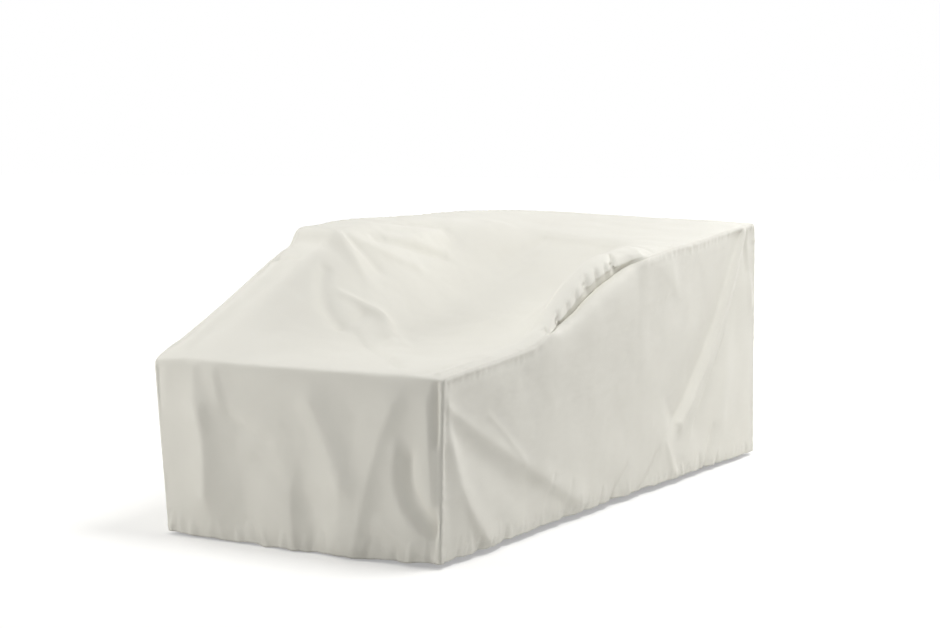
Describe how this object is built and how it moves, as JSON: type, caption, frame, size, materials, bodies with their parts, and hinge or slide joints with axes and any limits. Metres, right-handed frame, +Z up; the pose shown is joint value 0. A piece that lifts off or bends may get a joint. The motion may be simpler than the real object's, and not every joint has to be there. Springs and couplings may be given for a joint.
{
  "type": "chaise lounge cover",
  "caption": "Fitted fabric cover for a chaise lounge: raised arms and back, a sagging hollow over the seat, a low foot end and a drawn-in hem.",
  "frame": {"origin": "bottom centre of the cover's box, level with the lowest point of the hem", "axes": "+Z up, +Y from the foot end to the back, +X to the right of someone who stands at the foot end and looks along the chaise"},
  "size_m": [0.8733, 1.9542, 0.7724],
  "materials": {
    "cloth": "off-white coated polyester, plain weave, matt with a faint sheen"
  },
  "bodies": {
    "root": {"centre_strip": "cloth", "left_side": "cloth", "right_side": "cloth"}
  },
  "joints": []
}
